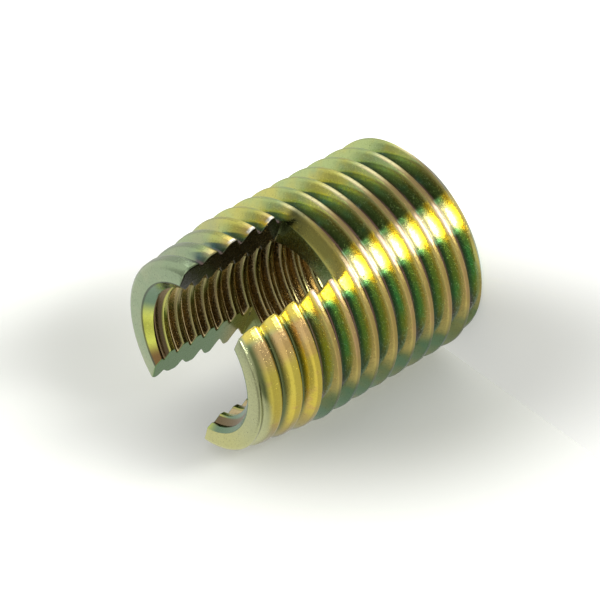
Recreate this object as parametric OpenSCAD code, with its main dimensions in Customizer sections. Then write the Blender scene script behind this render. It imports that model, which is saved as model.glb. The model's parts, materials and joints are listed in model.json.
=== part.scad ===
// Slotted self-tapping threaded insert, turned from one piece of steel bar.
// It stands on its rear face: Z is its axis and the slotted lead end is up.
// The inner thread is finer than this model needs, so the bore is drawn at the thread's crests.

/* [Body] */
// Length over both end faces
length = 17.7; // [14.5:0.1:26]
// Crest diameter of the outer thread
outer_d = 14; // [13.4:0.1:17]
// Chamfer that runs the outer thread out at the rear face
rear_chamfer = 0.5; // [0.2:0.05:0.8]

/* [Outer thread] */
// Distance from crest to crest
outer_pitch = 1.5; // [1.25:0.05:1.75]
// Depth of the groove below the crests
outer_depth = 0.92; // [0.6:0.01:0.95]
// Width of the flat at the bottom of the groove
outer_root_w = 0.12; // [0.05:0.01:0.2]
// Angle round the axis at which a crest meets the rear face
outer_start = 174; // [0:1:359]

/* [Lead end] */
// How far the lead face's outer corner lies inside the full crests
lead_drop = 0.65; // [0.3:0.05:0.9]
// Length over which the crests grow from the lead face to full height
lead_len = 5.4; // [2:0.1:7]
// Radius of the lead face's outer corner
lead_round = 0.4; // [0.2:0.05:0.8]

/* [Bore] */
// Diameter of the bore, taken at the inner thread's crests
bore_d = 8.5; // [7.5:0.05:9.2]
// Depth of the 45 degree countersink at the lead face
mouth_depth = 0.75; // [0.3:0.05:1.3]
// Depth of the 45 degree countersink at the rear face
rear_mouth_depth = 0.7; // [0.3:0.05:1.3]

/* [Slot] */
// Width of the sawn slot across the lead end
slot_w = 5.2; // [3:0.1:6]
// Depth of the slot below the lead face
slot_depth = 7.6; // [4:0.1:10]

/* [Hidden] */
$fn = 96;
// Half of the thread's 60 degree angle
flank = 30;
// Sections of the groove cutter in each turn
steps = 40;
// How far each cut runs past the face that it opens through
past = 0.05;
outer_r = outer_d / 2;

function ring_point(a, r, z) = [r * cos(a), r * sin(a), z];

// The cutter of the outer thread's groove: a flat-bottomed V that climbs a right-handed helix,
// from one turn below the rear face to one turn above the lead face.
module groove(root_r, open_r, start) {
    half_root = outer_root_w / 2;
    half_open = half_root + (open_r - root_r) * tan(flank);
    section = [[root_r, -half_root], [open_r, -half_open], [open_r, half_open], [root_r, half_root]];
    last = ceil((length / outer_pitch + 2) * steps);
    points = [for (i = [0:last], p = section)
        ring_point(start + 360 * i / steps, p[0], (i / steps - 1) * outer_pitch + p[1])];
    sides = [for (i = [0:last - 1], k = [0:3])
        let (a = 4 * i + k, b = 4 * i + (k + 1) % 4)
        each [[a, b, b + 4], [a, b + 4, a + 4]]];
    ends = [[0, 3, 2, 1], [for (k = [0:3]) 4 * last + k]];
    polyhedron(points = points, faces = concat(sides, ends));
}

// The turned outline: a chamfer at the rear, crests of full height, then the tapered and rounded lead.
module blank() {
    corner_r = outer_r - lead_drop - lead_round;
    corner = [for (a = [0:15:90])
        [corner_r + lead_round * cos(a), length - lead_round + lead_round * sin(a)]];
    body = [[0, 0], [outer_r - rear_chamfer, 0], [outer_r, rear_chamfer], [outer_r, length - lead_len]];
    rotate_extrude()
        polygon(concat(body, corner, [[0, length]]));
}

// A cone that opens upwards from the bore and runs past the face at its given depth.
module countersink(depth) {
    height = depth + past;
    cylinder(d1 = bore_d, d2 = bore_d + 2 * height, h = height);
}

// The through bore, with a countersink at each end.
module bore() {
    translate([0, 0, -past])
        cylinder(d = bore_d, h = length + 2 * past);
    translate([0, 0, length - mouth_depth])
        countersink(mouth_depth);
    translate([0, 0, rear_mouth_depth])
        mirror([0, 0, 1])
            countersink(rear_mouth_depth);
}

// The sawn slot runs right across the lead end along Y and leaves two prongs.
module slot() {
    translate([-slot_w / 2, -outer_r - past, length - slot_depth])
        cube([slot_w, outer_d + 2 * past, slot_depth + past]);
}

module insert_body() {
    color("goldenrod")
        difference() {
            blank();
            groove(outer_r - outer_depth, outer_r + past, outer_start - 180);
            bore();
            slot();
        }
}

insert_body();
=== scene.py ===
"""Looks of a slotted self-tapping threaded insert in yellow-passivated steel.

The shape is worked out in millimetres: z runs up the axis from the rear face, and angles turn round
+z from +x. Everything is put into the meshes in metres.
"""

import json
import math

import bmesh
import bpy
import numpy as np
from mathutils import Matrix, Vector


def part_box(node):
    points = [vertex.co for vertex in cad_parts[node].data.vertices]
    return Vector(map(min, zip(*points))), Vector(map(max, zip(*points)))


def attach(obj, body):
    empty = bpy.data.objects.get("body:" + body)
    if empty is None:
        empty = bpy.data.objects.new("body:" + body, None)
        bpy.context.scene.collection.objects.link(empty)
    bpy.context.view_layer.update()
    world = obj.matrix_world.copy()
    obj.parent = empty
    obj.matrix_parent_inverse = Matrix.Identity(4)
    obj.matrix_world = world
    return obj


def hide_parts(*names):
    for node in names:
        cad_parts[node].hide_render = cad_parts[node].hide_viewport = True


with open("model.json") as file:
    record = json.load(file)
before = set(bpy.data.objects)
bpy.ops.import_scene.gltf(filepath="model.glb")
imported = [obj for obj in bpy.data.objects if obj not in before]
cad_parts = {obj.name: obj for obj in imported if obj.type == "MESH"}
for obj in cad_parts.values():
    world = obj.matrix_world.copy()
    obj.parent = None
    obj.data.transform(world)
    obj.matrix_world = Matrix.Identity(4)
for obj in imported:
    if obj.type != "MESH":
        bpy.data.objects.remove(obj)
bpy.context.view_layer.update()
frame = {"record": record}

MM = 0.001
TAU = 2 * math.pi

# ---------------------------------------------------------------- sizes of the turned part, in mm
low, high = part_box("insert_body")
mounts = {mount["name"]: mount for mount in frame["record"]["mounts"]}
LENGTH = high[2] / MM
OUTER_R = high[0] / MM
BORE_R = mounts["inner_thread"]["dims"]["r_mm"]

FLANK_SLOPE = 1 / math.tan(math.radians(30))      # radius lost in a mm of height, on a 60 degree thread
OUTER_PITCH = 1.5
OUTER_DEPTH = 0.92
OUTER_ROOT_R = OUTER_R - OUTER_DEPTH
OUTER_LAND = 0.30                                 # width of the flat on a full crest
OUTER_START = math.radians(174)                   # angle at which a crest meets the rear face
INNER_PITCH = 1.0583
INNER_ROOT_R = 4.775
INNER_ROOT_W = 0.13
INNER_START = math.radians(13)                    # angle at which a groove's middle meets the rear face
REAR_CHAMFER = 0.5
LEAD_DROP = 0.65
LEAD_LENGTH = 5.4
LEAD_ROUND = 0.4
MOUTH_DEPTH = 0.75
REAR_MOUTH_DEPTH = 0.7
SLOT_HALF = 2.6
SLOT_DEPTH = 7.6
SLOT_FLOOR = LENGTH - SLOT_DEPTH
OUTER_EDGE, INNER_EDGE = 0.16, 0.05               # radii on the slot's edges, outside and in the bore
EDGE_FADE = 0.3                                   # height over which those grow from the slot's floor

# how widely the corners of each outline are rounded off
OUTER_ROOT_BLEND, OUTER_CREST_BLEND = 0.16, 0.12
LEAD_BLEND = 0.5                                  # added to the outer crests' at the lead face
INNER_ROOT_BLEND, INNER_CREST_BLEND, CONE_BLEND = 0.1, 0.08, 0.05

# distances from the middle of a turn at which the mesh has a row
OUTER_STATIONS = [0, 0.07, 0.11, 0.15, 0.19, 0.24, 0.32, 0.42, 0.53, 0.62, 0.67, 0.71, 0.75]
INNER_STATIONS = [0, 0.05, 0.085, 0.13, 0.24, 0.33, 0.37, 0.41, 0.529]
SETTLING_ROUNDS = 8                               # rounds in which a point's angle and radius settle
JOIN_DISTANCE = 2e-7                              # in metres
SHARP_ANGLE = math.radians(32)

# ---------------------------------------------------------------- the mesh


def smooth_min(a, b, blend):
    """The lower of two values, rounded off where they differ by less than blend."""
    share = np.clip(0.5 + 0.5 * (b - a) / blend, 0, 1)
    return b + (a - b) * share - blend * share * (1 - share)


def smooth_max(a, b, blend):
    """The higher of two values, rounded off in the same way."""
    return -smooth_min(-a, -b, blend)


def axial_gap(angle, z, pitch, start):
    """Distance along the axis to the nearest turn of the helix that leaves the rear face at angle start."""
    turns = z / pitch - (angle - start) / TAU
    return np.abs(turns - np.rint(turns)) * pitch


def envelope(z):
    """Radius over the crests: a chamfer, a full cylinder, a straight taper and a quarter-round corner."""
    heights = [0, REAR_CHAMFER, LENGTH - LEAD_LENGTH, LENGTH - LEAD_ROUND]
    radii = [OUTER_R - REAR_CHAMFER, OUTER_R, OUTER_R, OUTER_R - LEAD_DROP]
    into_corner = np.clip(z - (LENGTH - LEAD_ROUND), 0, LEAD_ROUND)
    return np.interp(z, heights, radii) - LEAD_ROUND + np.sqrt(LEAD_ROUND ** 2 - into_corner ** 2)


def outer_radius(angle, z):
    """Outer thread: 60 degree flanks that fall from a sharp crest, a soft groove floor, and crests cut off
    at the envelope."""
    sharp_crest_r = OUTER_R + OUTER_LAND / 2 * FLANK_SLOPE
    flank = sharp_crest_r - axial_gap(angle, z, OUTER_PITCH, OUTER_START) * FLANK_SLOPE
    into_lead = np.clip((z - (LENGTH - LEAD_LENGTH)) / LEAD_LENGTH, 0, 1)
    groove = smooth_max(flank, OUTER_ROOT_R, OUTER_ROOT_BLEND)
    return smooth_min(groove, envelope(z), OUTER_CREST_BLEND + LEAD_BLEND * into_lead)


def inner_radius(angle, z):
    """Inner thread: 60 degree grooves with a soft floor between crests at the bore's radius, and a
    45 degree countersink at each end."""
    sharp_root_r = INNER_ROOT_R + INNER_ROOT_W / 2 * FLANK_SLOPE
    flank = sharp_root_r - axial_gap(angle, z, INNER_PITCH, INNER_START) * FLANK_SLOPE
    groove = smooth_min(flank, INNER_ROOT_R, INNER_ROOT_BLEND)
    thread = smooth_max(groove, BORE_R, INNER_CREST_BLEND)
    cones = BORE_R + np.maximum(MOUTH_DEPTH - (LENGTH - z), REAR_MOUTH_DEPTH - z)
    return smooth_max(thread, cones, CONE_BLEND)


def helical_rows(pitch, start, stations, lowest, highest):
    """Heights at angle 0 of rows that climb with a thread, at the given distances to both sides of each
    turn's middle, enough for every angle between two heights."""
    offsets = np.unique(np.concatenate([stations, -np.asarray(stations)]))
    turns = np.arange(math.floor(lowest / pitch) - 2, math.ceil(highest / pitch) + 3)
    rows = (turns[:, None] * pitch + offsets).ravel() - pitch * start / TAU
    return rows[(rows > lowest - pitch * 1.2) & (rows < highest + pitch * 0.2)]


def surface_rows():
    """The rows of one lengthwise section, in order: up the outside, then down the bore.

    Gives for each row its height at angle 0, its climb in a radian, its lowest and highest height,
    and whether it is outside."""
    corner = LENGTH - LEAD_ROUND
    mouth = LENGTH - MOUTH_DEPTH / 2 + 0.03
    rear_mouth = REAR_MOUTH_DEPTH / 2 - 0.25
    outside = [
        (np.linspace(0, REAR_CHAMFER, 4)[:3], 0, 0, LENGTH),
        (helical_rows(OUTER_PITCH, OUTER_START, OUTER_STATIONS, REAR_CHAMFER, corner),
         OUTER_PITCH / TAU, REAR_CHAMFER, corner),
        (corner + LEAD_ROUND * np.sin(np.radians(np.arange(15, 91, 15))), 0, 0, LENGTH),
    ]
    inside = [
        (np.array([0.0]), 0, 0, LENGTH),
        (helical_rows(INNER_PITCH, INNER_START, INNER_STATIONS, rear_mouth, mouth),
         INNER_PITCH / TAU, rear_mouth, mouth),
        (np.linspace(mouth, LENGTH, 4)[1:], 0, 0, LENGTH),
    ]
    tables = []
    for side, groups in ((1, outside), (0, inside)):
        columns = [np.column_stack([z0, *(np.full(len(z0), v) for v in (climb, lowest, highest, side))])
                   for z0, climb, lowest, highest in groups]
        table = np.concatenate(columns)
        tables.append(table if side else table[::-1])
    return np.concatenate(tables).T


def section_points(rows, centre, side, turned, on_slot):
    """Points of one family of lengthwise sections, as an array of sections by rows by xyz.

    side runs from -1 to 1 across a prong, or across the slot's floor when on_slot. A prong's section lies
    where the angle at radius r is centre + side * acos(plane / r), so that its last one is a flat wall at
    that distance from the axis; the slot's floor fills the angles between two such walls. turned runs
    from 0 on the prong to 1 in the wall, over sections that round the edge by a quarter circle of radius
    edge: plane = SLOT_HALF + edge * (1 - sin(turned * 90)), and edge * (1 - cos(turned * 90)) is cut off
    the prong. They have a row at the slot's floor, above which the rounding grows."""
    z0, climb, lowest, highest, outside = (value[None, :] for value in rows)
    side, turned = side[:, None], turned[:, None] * TAU / 4
    edge = np.where(outside > 0, OUTER_EDGE, INNER_EDGE) * (not on_slot)
    plane = SLOT_HALF + edge * (1 - np.sin(turned))
    wedge = np.arcsin if on_slot else np.arccos
    radius = np.where(outside > 0, OUTER_R, BORE_R) + 0 * side
    for _ in range(SETTLING_ROUNDS):
        angle = centre + side * wedge(plane / radius)
        z = np.clip(z0 + climb * angle, lowest, highest)
        if on_slot:
            z = np.minimum(z, SLOT_FLOOR)
        above = z > SLOT_FLOOR
        neighbour = np.where(outside > 0, np.roll(above, 1, axis=1), np.roll(above, -1, axis=1))
        z = np.where((turned > 0) & above & ~neighbour, SLOT_FLOOR, z)
        radius = np.where(outside > 0, outer_radius(angle, z), inner_radius(angle, z))
    cut = edge * (1 - np.cos(turned)) * np.clip((z - SLOT_FLOOR) / EDGE_FADE, 0, 1)
    radius = radius + np.where(outside > 0, -cut, cut)
    angle = centre + side * wedge(plane / radius)
    z = np.minimum(z, LENGTH - cut)
    return np.stack([radius * np.cos(angle), radius * np.sin(angle), z], axis=-1)


def insert_mesh():
    """The whole insert as one closed mesh: two prongs and the two stretches of tube under the slot, joined
    where their sections coincide, and a flat many-sided face for each of the slot's four walls."""
    rows = surface_rows()
    row_count = rows.shape[1]
    prong_steps, floor_steps = 66, 20
    rounding = np.array([1, 0.75, 0.5, 0.25])
    points, quads, walls = [], [], []
    first = 0
    for sector, (start, end) in enumerate([(0, 1), (-1, 1), (-1, 1), (-1, 1), (-1, 0)]):
        on_slot = sector % 2 == 1
        steps = floor_steps if on_slot else prong_steps * (end - start) // 2
        lower = rounding if start == -1 and not on_slot else rounding[:0]
        upper = rounding if end == 1 and not on_slot else rounding[:0]
        side = np.concatenate([lower * 0 + start, np.linspace(start, end, steps + 1), upper * 0 + end])
        turned = np.concatenate([lower, np.zeros(steps + 1), upper[::-1]])
        grid = section_points(rows, sector * TAU / 4, side, turned, on_slot)
        index = first + np.arange(len(side) * row_count).reshape(len(side), row_count)
        after = np.roll(index, -1, axis=1)
        quads.append(np.stack([index[:-1], index[1:], after[1:], after[:-1]], axis=-1).reshape(-1, 4))
        for column in np.flatnonzero(turned == 1):
            edge = index[column][grid[column, :, 2] >= SLOT_FLOOR - 1e-9]
            walls.append(edge[::-1] if column else edge)
        points.append(grid.reshape(-1, 3))
        first += index.size
    mesh = bpy.data.meshes.new("insert")
    faces = np.concatenate(quads).tolist() + [wall.tolist() for wall in walls]
    mesh.from_pydata(np.concatenate(points) * MM, [], faces)
    return mesh


def join_seams(mesh):
    """Joins the points that coincide, which closes the seams and drops the faces without area."""
    work = bmesh.new()
    work.from_mesh(mesh)
    bmesh.ops.remove_doubles(work, verts=work.verts, dist=JOIN_DISTANCE)
    open_edges = sum(len(edge.link_faces) != 2 for edge in work.edges)
    if open_edges:
        print("open edges:", open_edges)
    work.to_mesh(mesh)
    work.free()


mesh = insert_mesh()
join_seams(mesh)
mesh.set_sharp_from_angle(angle=SHARP_ANGLE)
corner_counts = np.empty(len(mesh.polygons), np.int32)
mesh.polygons.foreach_get("loop_total", corner_counts)
mesh.polygons.foreach_set("use_smooth", corner_counts <= 4)
insert = bpy.data.objects.new("insert", mesh)
bpy.context.collection.objects.link(insert)
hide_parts("insert_body")
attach(insert, "root")

# ---------------------------------------------------------------- shader building


class Value:
    """A shader socket on which arithmetic adds Math nodes."""

    def __init__(self, shader, socket):
        self.shader, self.socket = shader, socket

    def __add__(self, other):
        return self.shader.math("ADD", self, other)

    def __mul__(self, other):
        return self.shader.math("MULTIPLY", self, other)

    def __sub__(self, other):
        return self.shader.math("SUBTRACT", self, other)

    def __truediv__(self, other):
        return self.shader.math("DIVIDE", self, other)

    def __pow__(self, other):
        return self.shader.math("POWER", self, other)

    def __rsub__(self, other):
        return self.shader.math("SUBTRACT", other, self)

    def __neg__(self):
        return self.shader.math("SUBTRACT", 0, self)

    def __abs__(self):
        return self.shader.math("ABSOLUTE", self)

    __radd__ = __add__
    __rmul__ = __mul__


class Shader:
    """The node tree of a material or a world, emptied and built up by calls."""

    def __init__(self, owner):
        owner.use_nodes = True
        self.tree = owner.node_tree
        self.tree.nodes.clear()

    def node(self, kind, settings=None, sockets=None, output=0):
        """Adds a node: first its settings, then the values or links of its sockets. Gives one output."""
        node = self.tree.nodes.new("ShaderNode" + kind)
        for name, setting in (settings or {}).items():
            setattr(node, name, setting)
        for name, value in (sockets or {}).items():
            if isinstance(value, Value):
                self.tree.links.new(value.socket, node.inputs[name])
            else:
                node.inputs[name].default_value = value
        return Value(self, node.outputs[output]) if len(node.outputs) else None

    def math(self, operation, *values):
        return self.node("Math", {"operation": operation}, dict(enumerate(values)))

    def smooth(self, value, low, high):
        """A soft step from 0 at low to 1 at high."""
        return self.node("MapRange", {"interpolation_type": "SMOOTHSTEP"},
                         {"Value": value, "From Min": low, "From Max": high})

    def mix(self, factor, a, b):
        """The colour a where factor is 0, and b where it is 1."""
        a, b = (c if isinstance(c, Value) else (*c, 1) for c in (a, b))
        return self.node("Mix", {"data_type": "RGBA"}, {0: factor, 6: a, 7: b}, output=2)

    def dot(self, vector, axis):
        settings = {"operation": "DOT_PRODUCT"}
        return self.node("VectorMath", settings, {0: vector, 1: axis}, output="Value")

    def noise(self, vector, scale, detail=2.0, roughness=0.5):
        return self.node("TexNoise", {}, {"Vector": vector, "Scale": scale, "Detail": detail,
                                          "Roughness": roughness})

    def position_mm(self):
        """Object coordinates in millimetres, as a vector and as x, y and z."""
        metres = self.node("TexCoord", output="Object")
        vector = self.node("VectorMath", {"operation": "SCALE"}, {0: metres, "Scale": 1 / MM})
        return vector, *(self.node("SeparateXYZ", {}, {0: vector}, output=k) for k in range(3))


# ---------------------------------------------------------------- materials

CAMERA_AZIMUTH, CAMERA_ELEVATION = -23.4, 30.155
CAMERA_ROLL = -119.24
CAMERA_DISTANCE = 184.95
CAMERA_AIM = (-0.069, 0.027, 9.283)
CAMERA_LENS = 180.48
CAMERA_SIDE = math.radians(CAMERA_AZIMUTH - 90)   # the camera's direction, turned round +z from +x
BACKDROP_SIDE = math.radians(-71.2)
BACKDROP_NORMAL = Vector((math.cos(BACKDROP_SIDE), math.sin(BACKDROP_SIDE), 0))
BACKDROP_PLACE = -7.02                            # its distance from the axis along that normal
STAGE_HALF = 0.6                                  # half width of floor and backdrop, in metres


class Places:
    """Where a point of the insert lies, in millimetres and round the axis, and its irregular patches.

    toward is 1 on the camera's side and -1 behind, and beside is -1 on the near prong's side and 1 on the
    far prong's. height is 0 at the outer thread's roots and 1 at its crests."""

    def __init__(self, shader):
        position, x, y, z = shader.position_mm()
        radius = shader.math("SQRT", x * x + y * y)
        camera_x, camera_y = math.cos(CAMERA_SIDE), math.sin(CAMERA_SIDE)
        toward = (x * camera_x + y * camera_y) / radius
        beside = (y * camera_x - x * camera_y) / radius
        self.position, self.x, self.y, self.z, self.radius = position, x, y, z, radius
        self.toward, self.beside = toward, beside
        self.upper = shader.smooth(beside, -0.15, 0.2)
        self.height = (radius - OUTER_ROOT_R) / (OUTER_R - OUTER_ROOT_R)
        self.from_lead = LENGTH - z
        self.patches = shader.noise(position, 0.3, 3.0)
        self.patch = shader.smooth(self.patches, 0.38, 0.62)
        self.blotches = shader.noise(position, 0.75, 2.0)


def dark_flank(shader, at):
    """The thread's dark tints on the camera's side, from the roots to the crests, and where they lie. They
    are painted dark reflections, with painted shade in the roots and painted dark spots at the border of the
    dark side.
    """
    toward, height, upper, patches, patch = at.toward, at.height, at.upper, at.patches, at.patch
    fine = (patches - 0.5) * 0.12
    dark_reach = 0.20 + height * (0.62 + 0.09 * height)
    reach_gain = 0.02 + height * (0.33 - 0.36 * height)
    # the dark side: painted dark reflections on the flanks toward the camera
    dark = shader.smooth(toward + fine - dark_reach - upper * reach_gain, -0.04, 0.04)
    dark_crest = shader.smooth(toward + fine, 0.56, 0.72)
    border = shader.smooth(toward, 0.25, 0.40) * (1 - shader.smooth(toward, 0.55, 0.72))
    # near-black teal and maroon spots at the dark side's border: painted dark reflections
    painted_dark_spot = shader.mix(upper, shader.mix(patch, (0.36, 0.20, 0.30), (0.13, 0.20, 0.16)), (0.07, 0.12, 0.13))
    deep = shader.mix(border * 0.9, shader.mix(upper, (0.14, 0.22, 0.13), (0.14, 0.18, 0.09)), painted_dark_spot)
    # the near-black roots are painted shade
    root = shader.mix(border * 0.6, (0.17, 0.10, 0.08), painted_dark_spot)
    waist = shader.mix(upper, shader.mix(patch, (0.20, 0.45, 0.21), (0.32, 0.41, 0.14)), (0.19, 0.24, 0.11))
    waist = shader.mix(border * 0.6, waist, painted_dark_spot)
    side = shader.mix(upper, (0.50, 0.43, 0.12), (0.27, 0.25, 0.08))
    flank = shader.mix(shader.smooth(height, 0.03, 0.15), root, deep)
    flank = shader.mix(shader.smooth(height, 0.18, 0.42), flank, waist)
    flank = shader.mix(shader.smooth(height, 0.5, 0.85), flank, side)
    return flank, dark, dark_crest


def pale_flank(shader, at, flank, dark):
    """Adds the tints away from the camera's side: pale on the far prong's side, partly the film's colour and
    partly painted reflection of bright surroundings, and dull on the near prong's, a painted dark
    reflection. The roots there get painted shade, and an amber painted reflection lies near the slot.
    """
    z, toward, height, upper = at.z, at.toward, at.height, at.upper
    patches, patch, blotches = at.patches, at.patch, at.blotches
    near = shader.smooth(toward + (patches - 0.5) * 0.5, 0.36, 0.78)
    # an amber painted reflection on the far prong near the slot
    amber_reflection = shader.smooth(z, SLOT_FLOOR - 1.5, SLOT_FLOOR + 0.5) * shader.smooth(toward, 0.5, 0.75)
    pale_outer = shader.mix(patch, (0.64, 0.61, 0.17), (0.50, 0.60, 0.24))
    pale_inner = shader.mix(patch, (0.56, 0.54, 0.12), (0.38, 0.51, 0.22))
    pale_high = shader.mix(shader.smooth(toward, 0.3, 0.55), pale_outer, pale_inner)
    warm = shader.mix(patch, (0.74, 0.71, 0.16), (0.56, 0.70, 0.28))
    pale_high = shader.mix(shader.smooth(toward, 0.58, 0.74), pale_high, warm)
    pale_high = shader.mix(amber_reflection * 0.7, pale_high, (0.68, 0.50, 0.14))
    # a painted dark reflection low on the near prong's side
    painted_dull_reflection = shader.mix(patch, (0.08, 0.15, 0.07), (0.13, 0.15, 0.045))
    pale_low = shader.mix(near, painted_dull_reflection, (0.58, 0.46, 0.14))
    pale_low = shader.mix(shader.smooth(-toward, 0.1, 0.4), pale_low, (0.45, 0.46, 0.18))
    pale = shader.mix(upper, pale_low, pale_high)
    # painted shade in the roots
    painted_root_shade = 1 - shader.smooth(height, 0.02, 0.12)
    flank = shader.mix(dark, shader.mix(painted_root_shade * 0.6, pale, (0.24, 0.20, 0.07)), flank)
    blotched = shader.smooth(blotches, 0.54, 0.74) * (0.1 + 0.4 * upper) * (0.4 + 0.6 * dark)
    flank = shader.mix(blotched, flank, (0.15, 0.32, 0.26))
    return flank, pale


def painted_glint_band(shader, at, flank, pale, dark_crest):
    """Adds a painted glint: a bright yellow band straight toward the camera with a whiter core and coloured
    edges. Also adds the crests' colour, which holds a painted highlight in that band and painted reflections
    on the far prong's side.
    """
    position, z, toward = at.position, at.z, at.toward
    height, upper, patch = at.height, at.upper, at.patch
    # painted highlight where the softbox's glint falls in the main view, with coloured edges
    painted_glint = shader.smooth(toward, 0.983, 0.998)
    painted_glint_fringe = shader.smooth(toward, 0.974, 0.986) * (1 - painted_glint)
    crestward = shader.smooth(height, 0.25, 0.75)
    flank = shader.mix(painted_glint_fringe * 0.8, flank, shader.mix(crestward, (0.42, 0.70, 0.38), (0.70, 0.52, 0.06)))
    past_floor = shader.smooth(z, SLOT_FLOOR - 1.0, SLOT_FLOOR + 0.5)
    painted_glint_core = shader.mix(past_floor, (0.86, 0.82, 0.52), (0.86, 0.72, 0.16))
    flank = shader.mix(painted_glint, flank, shader.mix(crestward, painted_glint_core, (0.86, 0.68, 0.12)))
    low_crest = shader.mix(patch, (0.50, 0.33, 0.15), (0.44, 0.33, 0.10))
    # crests brighter further round on the far prong's side: painted reflections
    high_crest = shader.mix(shader.smooth(toward, 0.76, 0.90), (0.58, 0.53, 0.28), (0.30, 0.22, 0.09))
    crest_color = shader.mix(upper, low_crest, high_crest)
    # pale pink painted highlight on the crests in the glint
    crest_color = shader.mix(painted_glint, crest_color, (0.78, 0.60, 0.44))
    crest_color = shader.mix(dark_crest, pale, crest_color)
    crest_noise = shader.noise(position, 2.2, 2.0)
    crest = shader.smooth(height + (crest_noise - 0.5) * 0.10, 0.92, 0.98)
    color = shader.mix(crest, flank, crest_color)
    return color, painted_glint, crest


def slot_edge(shader, at, color):
    """Adds a gold edge below the slot."""
    x, z = at.x, at.z
    near_slot = shader.smooth(z, SLOT_FLOOR - 1.5, SLOT_FLOOR - 0.4)
    near_slot = near_slot * (1 - shader.smooth(abs(x), SLOT_HALF - 0.4, SLOT_HALF + 0.2))
    edge_rise = shader.smooth(z, SLOT_FLOOR - 1.1, SLOT_FLOOR - 0.2)
    gold_edge = shader.mix(edge_rise, (0.22, 0.16, 0.05), (0.32, 0.29, 0.07))
    gold_edge = shader.mix(shader.smooth(-x, -2.3, -0.4), (0.08, 0.09, 0.035), gold_edge)
    color = shader.mix(near_slot * 0.9, color, gold_edge)
    return color


def near_prong_and_face(shader, at, color, painted_glint, crest):
    """Makes the near prong gold and tan, with painted shade on its underside and in its roots, and the lead
    face and what is next to it paler.
    """
    toward, beside, height, from_lead = at.toward, at.beside, at.height, at.from_lead
    patches, patch, blotches = at.patches, at.patch, at.blotches
    gold = shader.mix(shader.smooth(toward, 0.86, 0.97), (0.74, 0.58, 0.08), (0.70, 0.45, 0.19))
    gold = shader.mix(shader.smooth(blotches, 0.52, 0.64) * 0.6, gold, (0.68, 0.42, 0.13))
    # darker gold on the underside: painted shade
    gold = shader.mix(shader.smooth(toward, 0.12, 0.50), (0.37, 0.29, 0.07), gold)
    gold_reach = (1 - shader.smooth(from_lead, 4.0, 5.4)) * shader.smooth(-beside, -0.05, 0.2)
    gold_reach = gold_reach * (1 - 0.6 * shader.smooth(-toward, -0.15, 0.25))
    # dark roots: painted shade
    painted_valley_shade = shader.mix(shader.smooth(height, 0.04, 0.46), (0.11, 0.14, 0.05), gold)
    color = shader.mix(gold_reach * (1 - painted_glint * (1 - crest)) * 0.9, color, painted_valley_shade)
    reach = 0.3 + 5.0 * shader.smooth(beside, 0.72, 0.97) + 0.9 * shader.smooth(-beside, 0.55, 0.92)
    lead = 1 - shader.smooth(from_lead / reach + (patches - 0.5) * 0.8, 0.4, 1.1)
    far_face = shader.mix(patch, (0.40, 0.45, 0.27), (0.33, 0.42, 0.25))
    near_face = shader.mix(shader.smooth(-toward, -0.5, 0.3), (0.47, 0.49, 0.25), (0.54, 0.53, 0.21))
    face = shader.mix(shader.smooth(-beside, -0.2, 0.5), far_face, near_face)
    color = shader.mix(lead, color, face)
    return color


def far_prong(shader, at, color):
    """Paints an amber reflection on the far prong along the slot, and near-white painted highlights on the
    tips of its crests at the slot's edge.
    """
    x, y, z, height, from_lead = at.x, at.y, at.z, at.height, at.from_lead
    beside_slot = shader.smooth(z, SLOT_FLOOR, SLOT_FLOOR + 1.0) * shader.smooth(x, 0.0, 0.5)
    along_slot = beside_slot * (1 - shader.smooth(x, SLOT_HALF + 0.15, SLOT_HALF + 0.9))
    # amber painted reflection along the slot
    amber_reflection_edge = shader.mix(shader.smooth(from_lead, 1.0, 3.0), (0.52, 0.42, 0.27), (0.60, 0.44, 0.14))
    color = shader.mix(along_slot * shader.smooth(height, 0.3, 0.7) * 0.8, color, amber_reflection_edge)
    at_edge = beside_slot * (1 - shader.smooth(x, SLOT_HALF + 0.12, SLOT_HALF + 0.34))
    # near-white painted highlights on the crests' tips at the slot's edge
    painted_tip_glint = at_edge * shader.smooth(height, 0.55, 0.8)
    color = shader.mix(painted_tip_glint * shader.smooth(-y, 2.0, 3.0), color, (0.95, 0.92, 0.82))
    return color


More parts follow.
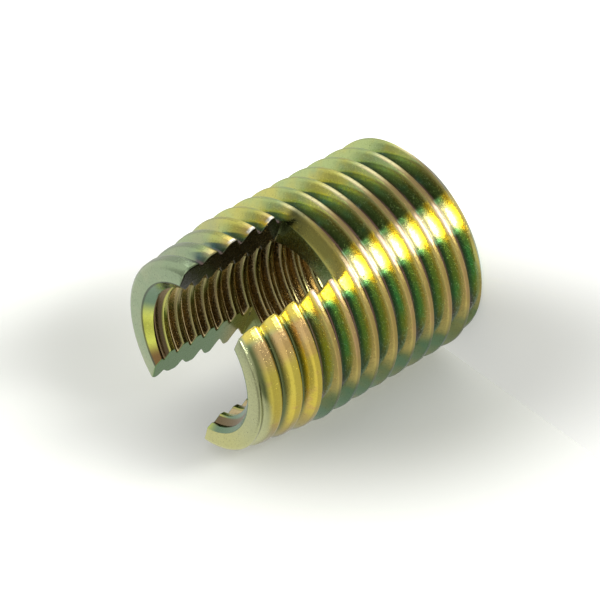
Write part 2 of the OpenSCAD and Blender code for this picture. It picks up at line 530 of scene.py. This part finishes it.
def bore_and_mouth(shader, at, color):
    """Makes the bore brown, nearly black near the lead end as painted shade, with yellow green and teal in
    its mouth placed by the side toward the camera as painted reflections, and a painted shade line round the
    mouth's edge. Gives where the bore lies.
    """
    x, radius, toward, from_lead, patch = at.x, at.radius, at.toward, at.from_lead, at.patch
    mouth_r = BORE_R + MOUTH_DEPTH
    on_cone = 1 - shader.smooth(abs(radius + from_lead - mouth_r), 0.03, 0.08)
    on_crest = 1 - shader.smooth(radius, BORE_R + 0.06, BORE_R + 0.14)
    first_crest = on_crest * (1 - shader.smooth(from_lead, 1.5, 2.2))
    in_bore = 1 - shader.smooth(radius, INNER_ROOT_R + 0.005, INNER_ROOT_R + 0.065)
    bore = shader.math("MAXIMUM", in_bore, on_cone)
    # the mouth's tints follow the side toward the camera: painted reflections
    mouth_color = shader.mix(shader.smooth(toward, -0.72, -0.40), (0.80, 0.84, 0.15), (0.17, 0.26, 0.16))
    mouth_color = shader.mix(shader.smooth(-toward, 0.88, 0.97), mouth_color, (0.22, 0.13, 0.05))
    brown = shader.mix(shader.smooth(radius, BORE_R + 0.05, BORE_R + 0.2),
                       shader.mix(patch, (0.34, 0.27, 0.12), (0.29, 0.27, 0.11)), (0.55, 0.44, 0.23))
    # painted shade in the first 1.5 mm of the bore
    brown = shader.mix((1 - shader.smooth(from_lead, 1.0, 1.5)) * 0.75, brown, (0.07, 0.04, 0.02))
    brown = shader.mix(first_crest, brown, (0.52, 0.52, 0.14))
    color = shader.mix(bore, color, shader.mix(on_cone, brown, mouth_color))
    # a dark line round the mouth's edge, mostly on the +x half: painted shade
    painted_mouth_shade_line = 1 - shader.smooth(abs(radius - mouth_r), 0.02, 0.09)
    painted_mouth_shade_line = painted_mouth_shade_line * (1 - shader.smooth(from_lead, 0.1, 0.2)) * shader.smooth(x, -3.0, 1.0)
    color = shader.mix(painted_mouth_shade_line * 0.85, color, (0.10, 0.12, 0.08))
    return color, bore


def slot_walls(shader, at, color):
    """Makes the slot's walls nearly black on the camera's half, as painted shade, and brown to green on the
    other, as painted reflection of shaded surroundings, and its floor dark olive, a painted dark reflection."""
    x, y, z = at.x, at.y, at.z
    above = shader.smooth(z, SLOT_FLOOR + 0.02, SLOT_FLOOR + 0.1)
    wall = (1 - shader.smooth(abs(x), SLOT_HALF + 0.02, SLOT_HALF + 0.05)) * above
    wall_rise = shader.smooth(z, SLOT_FLOOR, SLOT_FLOOR + 3.0)
    far_wall_reflection = shader.mix(wall_rise, (0.38, 0.29, 0.07), (0.155, 0.26, 0.105))
    painted_wall_shade = shader.mix(shader.smooth(y, -1.0, 1.0), (0.035, 0.035, 0.014), far_wall_reflection)
    color = shader.mix(wall, color, painted_wall_shade)
    level = 1 - shader.smooth(abs(z - SLOT_FLOOR), 0.01, 0.03)
    floor = (1 - shader.smooth(abs(x), SLOT_HALF - 0.02, SLOT_HALF)) * level
    # the floor's dark olive is a painted dark reflection
    color = shader.mix(floor, color, (0.20, 0.24, 0.08))
    return color


def yellow_zinc():
    """Yellow zinc plating. Its tints and bands are placed by position for the main camera's view, so they
    hold painted reflections, a painted glint and painted shade as well as the film's own colour."""
    material = bpy.data.materials.new("yellow zinc")
    shader = Shader(material)
    at = Places(shader)
    flank, dark, dark_crest = dark_flank(shader, at)
    flank, pale = pale_flank(shader, at, flank, dark)
    color, painted_glint, crest = painted_glint_band(shader, at, flank, pale, dark_crest)
    color = slot_edge(shader, at, color)
    color = near_prong_and_face(shader, at, color, painted_glint, crest)
    color = far_prong(shader, at, color)
    color, bore = bore_and_mouth(shader, at, color)
    color = slot_walls(shader, at, color)

    stretched = shader.node("CombineXYZ", {}, {0: at.toward * 2, 1: at.radius * 6, 2: at.z * 2.5})
    streaks = shader.noise(stretched, 1.0, 3.0)
    speckle = shader.noise(at.position, 6.0, 3.0, 0.6)
    pits = shader.smooth(shader.noise(at.position, 7.0, 1.0), 0.64, 0.72)
    rough = 0.16 + 0.12 * shader.smooth(speckle, 0.35, 0.7) + crest * (0.14 + 0.18 * painted_glint)
    relief = (speckle * (1 + crest) + streaks * 0.5 + pits * 1.5) * (1 - 0.7 * bore)
    bump = shader.node("Bump", {}, {"Strength": 1.0, "Distance": 0.006 * MM, "Height": relief})
    metal = shader.node("BsdfPrincipled", {}, {"Base Color": color, "Metallic": 1.0, "Roughness": rough,
                                               "Normal": bump})
    shader.node("OutputMaterial", {}, {"Surface": metal})
    return material


def pale_ground(name, grey, glow):
    """A pale matt surface that partly glows and turns white away from the object, as an oval placed for the
    main camera's view; the dimmer oval round the object is painted shadow, and a brighter glowing patch
    behind the slot is a painted pool of light. It can't be seen from behind."""
    material = bpy.data.materials.new(name)
    shader = Shader(material)
    matt = shader.node("BsdfDiffuse", {}, {"Color": (0.98 * grey, grey, 0.92 * grey, 1)})
    position = shader.position_mm()[0]
    # the oval reaches a different way to each side of its two axes
    down = shader.dot(position, direction(-129.1, 25.0)) - 6.99
    down = shader.math("MAXIMUM", down / 4.76, down / -2.98)
    across = shader.dot(position, direction(-71.5, -49.0)) + 1.48
    across = shader.math("MAXIMUM", across / 8.84, across / -13.08)
    roundness = 1.86
    away = (down ** roundness + across ** roundness) ** (1 / roundness)
    # glow that grows outside the oval, which leaves a painted shadow round the object
    glow_outside_painted_shadow = 0.467 * shader.smooth(away, 1.0, 2.45) + 0.5 * shader.smooth(away, 2.1, 3.4)
    # a painted pool of light on the ground behind the slot
    painted_light_pool_centre = (3.6, 8.7, 10.5)
    from_painted_light_pool = shader.node("VectorMath", {"operation": "DISTANCE"}, {0: position, 1: painted_light_pool_centre},
                            output="Value")
    painted_light_pool = 1 - shader.smooth(from_painted_light_pool, 1.0, 11.2)
    light = shader.node("Emission", {}, {"Color": (1, 1, 0.98, 1), "Strength": glow + glow_outside_painted_shadow + 0.363 * painted_light_pool})
    lit = shader.node("AddShader", {}, {0: matt, 1: light})
    clear = shader.node("BsdfTransparent")
    behind = shader.node("NewGeometry", output="Backfacing")
    surface = shader.node("MixShader", {}, {0: behind, 1: lit, 2: clear})
    shader.node("OutputMaterial", {}, {"Surface": surface})
    return material


mesh.materials.append(yellow_zinc())

# ---------------------------------------------------------------- stage and light


def plane_object(name, centre, normal, half):
    """A square of the given half width, facing along normal. Only the camera sees it."""
    turn = Vector(normal).to_track_quat("Z", "Y").to_matrix()
    corners = [turn @ Vector((x * half, y * half, 0)) + Vector(centre)
               for x, y in ((-1, -1), (1, -1), (1, 1), (-1, 1))]
    mesh = bpy.data.meshes.new(name)
    mesh.from_pydata(corners, [], [(0, 1, 2, 3)])
    obj = bpy.data.objects.new(name, mesh)
    bpy.context.collection.objects.link(obj)
    obj.visible_diffuse = obj.visible_glossy = obj.visible_transmission = obj.visible_shadow = False
    return obj


def direction(azimuth, elevation):
    """Unit vector with azimuth 0 along -y and 90 along +x, in degrees."""
    a, e = math.radians(azimuth), math.radians(elevation)
    return Vector((math.sin(a) * math.cos(e), -math.cos(a) * math.cos(e), math.sin(e)))


floor = plane_object("floor", (0, 0, 0), (0, 0, 1), STAGE_HALF)
floor.data.materials.append(pale_ground("floor", 0.5, 0.325))
backdrop = plane_object("backdrop", BACKDROP_NORMAL * BACKDROP_PLACE * MM, BACKDROP_NORMAL, STAGE_HALF)
backdrop.data.materials.append(pale_ground("backdrop", 0.55, 0.076))


def studio():
    """White light from all round with a dark patch overhead, a softbox low on the camera's side and a
    weaker one beside it. The camera itself sees plain white."""
    world = bpy.data.worlds.new("studio")
    shader = Shader(world)
    toward = shader.node("TexCoord", output="Generated")
    overhead = shader.dot(toward, (0, 0, 1))
    camera_side = shader.dot(toward, direction(CAMERA_AZIMUTH, 0))
    dark = shader.smooth(overhead, math.cos(math.radians(56)), math.cos(math.radians(48)))
    dark = dark * (1 - shader.smooth(camera_side, -0.02, 0.35))
    strength = (0.6 + 0.3 * shader.smooth(overhead, -0.3, 0.1)) * (1 - 0.5 * dark)
    box_azimuth = CAMERA_AZIMUTH - 5
    box = direction(box_azimuth, -30)
    across = direction(box_azimuth + 90, 0)
    up = across.cross(box)
    sideways = abs(shader.dot(toward, across))
    upward = abs(shader.dot(toward, up))
    inside = (1 - shader.smooth(sideways, 0.05, 0.17)) * (1 - shader.smooth(upward, 0.08, 0.3))
    ahead = shader.math("GREATER_THAN", shader.dot(toward, box), 0.0)
    to_second = shader.dot(toward, direction(CAMERA_AZIMUTH + 80, -25))
    second = shader.smooth(to_second, math.cos(math.radians(26)), math.cos(math.radians(14)))
    strength = strength + 19.0 * inside * ahead + 1.3 * second
    lit = shader.node("Background", {}, {"Color": (1, 1, 1, 1), "Strength": strength})
    seen = shader.node("Background", {}, {"Color": (1, 1, 1, 1), "Strength": 1.0})
    camera_ray = shader.node("LightPath", output="Is Camera Ray")
    surface = shader.node("MixShader", {}, {0: camera_ray, 1: lit, 2: seen})
    shader.node("OutputWorld", {}, {"Surface": surface})
    bpy.context.scene.world = world


studio()

# ---------------------------------------------------------------- camera


def aim_camera(azimuth, elevation, roll, distance, aim, lens):
    """Makes the camera. It looks at aim from the given direction, rolled about its own line of sight.
    Azimuth 0 looks along +y."""
    back = direction(azimuth, elevation)
    camera = bpy.data.cameras.new("camera")
    camera.lens = lens
    camera.sensor_width = 36
    camera.clip_start, camera.clip_end = 0.01, 10
    obj = bpy.data.objects.new("camera", camera)
    bpy.context.collection.objects.link(obj)
    turn = (-back).to_track_quat("-Z", "Y").to_matrix() @ Matrix.Rotation(math.radians(roll), 3, "Z")
    obj.matrix_world = Matrix.Translation(Vector(aim) * MM + back * distance * MM) @ turn.to_4x4()
    bpy.context.scene.camera = obj


aim_camera(CAMERA_AZIMUTH, CAMERA_ELEVATION, CAMERA_ROLL, CAMERA_DISTANCE, CAMERA_AIM, CAMERA_LENS)

bpy.context.scene.view_settings.view_transform = "Standard"
